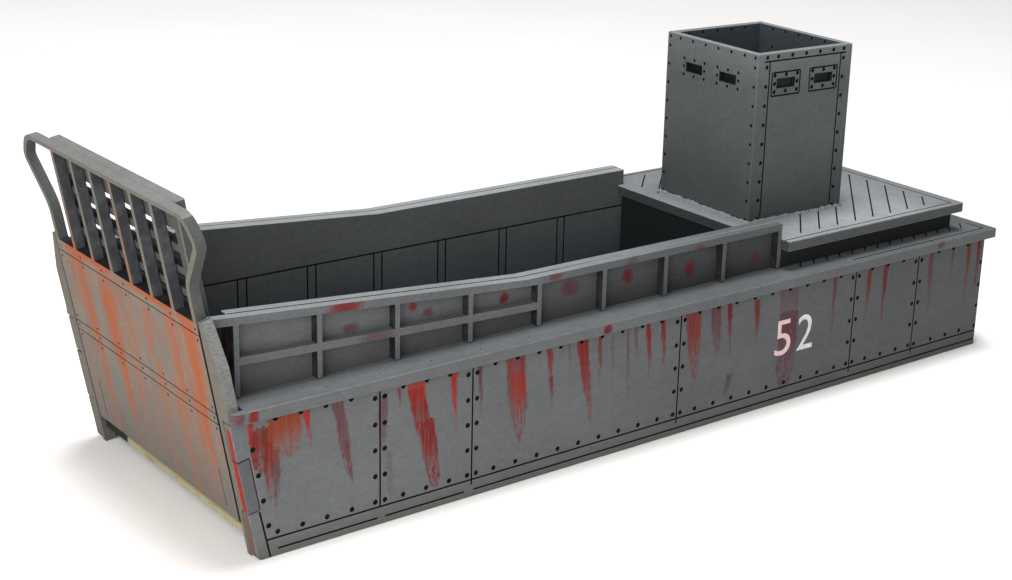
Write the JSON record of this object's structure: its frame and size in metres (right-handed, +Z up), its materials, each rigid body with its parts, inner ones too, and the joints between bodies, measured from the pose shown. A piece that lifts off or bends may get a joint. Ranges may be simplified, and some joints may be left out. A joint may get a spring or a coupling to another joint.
{
  "type": "military landing craft",
  "caption": "Board wargame model of a flat-bottomed landing craft with an open well deck, a square tower aft and a hinged bow ramp under a slatted grille.",
  "frame": {"origin": "on the ground, at the middle of the bounding box seen from above", "axes": "+X to the bow, +Y to port, +Z up"},
  "size_m": [0.2734, 0.092, 0.097],
  "materials": {
    "grey_blue_board": "matt grey-blue paint, drybrushed edges, rust streaks",
    "tower_board": "matt grey-blue paint, drybrushed edges",
    "dark_board": "matt dark blue paint",
    "bare_board": "unpainted board edge, painted top",
    "rusty_board": "matt paint with orange rust streaks",
    "pin_wire": "bare wire"
  },
  "bodies": {
    "hull": {"hull_side_port": "grey_blue_board", "hull_side_starboard": "grey_blue_board", "transom": "grey_blue_board", "well_floor": "bare_board", "main_deck": "grey_blue_board", "well_wall_port": "dark_board", "well_wall_starboard": "dark_board", "bulwark_lattice_port": "grey_blue_board", "bulwark_lattice_starboard": "grey_blue_board", "engine_wall_port": "dark_board", "engine_wall_starboard": "dark_board", "engine_wall_stern": "dark_board", "aft_bulkhead": "dark_board", "upper_deck": "grey_blue_board", "tower_wall_bow": "tower_board", "tower_wall_stern": "tower_board", "tower_wall_port": "tower_board", "tower_wall_starboard": "tower_board", "bow_post_port": "grey_blue_board", "bow_post_starboard": "grey_blue_board"},
    "ramp": {"ramp_panel": "rusty_board", "ramp_grille_plate": "grey_blue_board", "ramp_pin_port": "pin_wire", "ramp_pin_starboard": "pin_wire"}
  },
  "joints": [
    {"name": "ramp_hinge", "type": "hinge", "parent": "hull", "child": "ramp", "pos_m": [0.12183, 0, 0.00918], "axis": [0, 1, 0], "range_deg": [0, 85]}
  ]
}
